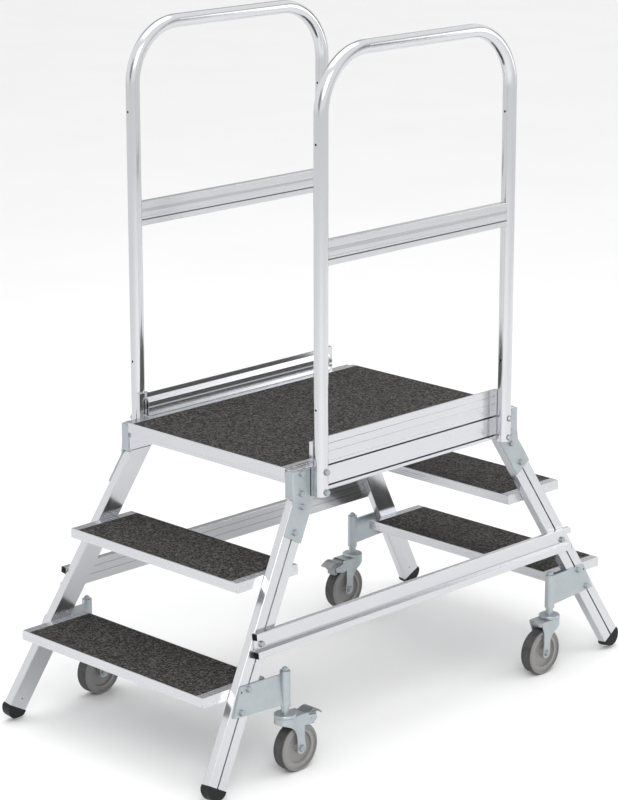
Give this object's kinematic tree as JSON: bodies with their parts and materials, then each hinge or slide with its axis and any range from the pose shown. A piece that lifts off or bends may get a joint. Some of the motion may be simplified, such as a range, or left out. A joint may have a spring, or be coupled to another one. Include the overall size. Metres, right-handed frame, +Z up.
{
  "type": "rolling warehouse ladder",
  "caption": "Double-sided mobile platform steps: a railed deck between two short stairs on sprung castors that let the rubber feet grip when climbed.",
  "frame": {"origin": "centre of the footprint on the floor", "axes": "+X walking direction over the platform, +Y across it, +Z up"},
  "size_m": [1.5108, 0.774, 1.7255],
  "materials": {
    "aluminium": "natural extruded and folded aluminium, faint grain",
    "zinc_steel": "bright zinc plate",
    "bolt_steel": "zinc-plated M8 hardware and spring wire",
    "pedal_steel": "darker plated pressing",
    "grit": "bonded mineral anti-slip surface",
    "foot_rubber": "moulded black rubber",
    "black_plastic": "moulded plugs",
    "rim_plastic": "moulded grey polyamide",
    "tyre_rubber": "dark grey moulded tread"
  },
  "bodies": {
    "frame": {"stringer_front_right": "aluminium", "corner_bracket_front_right": "zinc_steel", "castor_bracket_front_right": "zinc_steel", "stringer_front_left": "aluminium", "corner_bracket_front_left": "zinc_steel", "castor_bracket_front_left": "zinc_steel", "stringer_back_right": "aluminium", "corner_bracket_back_right": "zinc_steel", "castor_bracket_back_right": "zinc_steel", "stringer_back_left": "aluminium", "corner_bracket_back_left": "zinc_steel", "castor_bracket_back_left": "zinc_steel", "tread_lower_right": "aluminium", "tread_lower_left": "aluminium", "tread_upper_right": "aluminium", "tread_upper_left": "aluminium", "side_beam_front": "aluminium", "side_beam_back": "aluminium", "toe_board_front": "aluminium", "toe_board_back": "aluminium", "handrail_front": "aluminium", "handrail_back": "aluminium", "knee_rail_front": "aluminium", "knee_rail_back": "aluminium", "brace_front": "aluminium", "brace_back": "aluminium", "deck_tray": "aluminium", "deck_crossbars": "aluminium", "grip_panels": "grit", "rubber_feet": "foot_rubber", "post_saddles": "aluminium", "brace_plugs": "black_plastic", "hex_bolts": "bolt_steel", "slot_nuts": "bolt_steel"},
    "stem_front_right": {"castor_stem_front_right": "zinc_steel", "castor_spring_front_right": "bolt_steel"},
    "swivel_front_right": {"castor_fork_front_right": "zinc_steel", "castor_axle_front_right": "bolt_steel"},
    "wheel_front_right": {"castor_rim_front_right": "rim_plastic", "castor_tyre_front_right": "tyre_rubber"},
    "stem_front_left": {"castor_stem_front_left": "zinc_steel", "castor_spring_front_left": "bolt_steel"},
    "swivel_front_left": {"castor_fork_front_left": "zinc_steel", "castor_axle_front_left": "bolt_steel"},
    "wheel_front_left": {"castor_rim_front_left": "rim_plastic", "castor_tyre_front_left": "tyre_rubber"},
    "pedal_front_left": {"brake_pedal_front_left": "pedal_steel"},
    "stem_back_right": {"castor_stem_back_right": "zinc_steel", "castor_spring_back_right": "bolt_steel"},
    "swivel_back_right": {"castor_fork_back_right": "zinc_steel", "castor_axle_back_right": "bolt_steel"},
    "wheel_back_right": {"castor_rim_back_right": "rim_plastic", "castor_tyre_back_right": "tyre_rubber"},
    "pedal_back_right": {"brake_pedal_back_right": "pedal_steel"},
    "stem_back_left": {"castor_stem_back_left": "zinc_steel", "castor_spring_back_left": "bolt_steel"},
    "swivel_back_left": {"castor_fork_back_left": "zinc_steel", "castor_axle_back_left": "bolt_steel"},
    "wheel_back_left": {"castor_rim_back_left": "rim_plastic", "castor_tyre_back_left": "tyre_rubber"}
  },
  "joints": [
    {"name": "castor_spring_front_right", "type": "slide", "parent": "frame", "child": "stem_front_right", "axis": [0, 0, 1], "range_m": [0, 0.01], "stiffness_N_per_m": 6000, "springref_m": -0.022, "deforming": ["castor_spring_front_right"]},
    {"name": "castor_swivel_front_right", "type": "hinge", "parent": "stem_front_right", "child": "swivel_front_right", "pos_m": [0.486, -0.359, 0.15], "axis": [0, 0, 1], "continuous": true},
    {"name": "wheel_spin_front_right", "type": "hinge", "parent": "swivel_front_right", "child": "wheel_front_right", "pos_m": [0.452, -0.359, 0.06], "axis": [0, 1, 0], "continuous": true},
    {"name": "castor_spring_front_left", "type": "slide", "parent": "frame", "child": "stem_front_left", "axis": [0, 0, 1], "range_m": [0, 0.01], "stiffness_N_per_m": 6000, "springref_m": -0.022, "deforming": ["castor_spring_front_left"]},
    {"name": "castor_swivel_front_left", "type": "hinge", "parent": "stem_front_left", "child": "swivel_front_left", "pos_m": [-0.486, -0.359, 0.15], "axis": [0, 0, 1], "continuous": true},
    {"name": "wheel_spin_front_left", "type": "hinge", "parent": "swivel_front_left", "child": "wheel_front_left", "pos_m": [-0.452, -0.359, 0.06], "axis": [0, 1, 0], "continuous": true},
    {"name": "brake_front_left", "type": "hinge", "parent": "swivel_front_left", "child": "pedal_front_left", "pos_m": [-0.418, -0.359, 0.127], "axis": [0, 1, 0], "range_deg": [0, 10]},
    {"name": "castor_spring_back_right", "type": "slide", "parent": "frame", "child": "stem_back_right", "axis": [0, 0, 1], "range_m": [0, 0.01], "stiffness_N_per_m": 6000, "springref_m": -0.022, "deforming": ["castor_spring_back_right"]},
    {"name": "castor_swivel_back_right", "type": "hinge", "parent": "stem_back_right", "child": "swivel_back_right", "pos_m": [0.486, 0.359, 0.15], "axis": [0, 0, 1], "continuous": true},
    {"name": "wheel_spin_back_right", "type": "hinge", "parent": "swivel_back_right", "child": "wheel_back_right", "pos_m": [0.452, 0.359, 0.06], "axis": [0, 1, 0], "continuous": true},
    {"name": "brake_back_right", "type": "hinge", "parent": "swivel_back_right", "child": "pedal_back_right", "pos_m": [0.418, 0.359, 0.127], "axis": [0, -1, 0], "range_deg": [0, 10]},
    {"name": "castor_spring_back_left", "type": "slide", "parent": "frame", "child": "stem_back_left", "axis": [0, 0, 1], "range_m": [0, 0.01], "stiffness_N_per_m": 6000, "springref_m": -0.022, "deforming": ["castor_spring_back_left"]},
    {"name": "castor_swivel_back_left", "type": "hinge", "parent": "stem_back_left", "child": "swivel_back_left", "pos_m": [-0.486, 0.359, 0.15], "axis": [0, 0, 1], "continuous": true},
    {"name": "wheel_spin_back_left", "type": "hinge", "parent": "swivel_back_left", "child": "wheel_back_left", "pos_m": [-0.452, 0.359, 0.06], "axis": [0, 1, 0], "continuous": true}
  ]
}
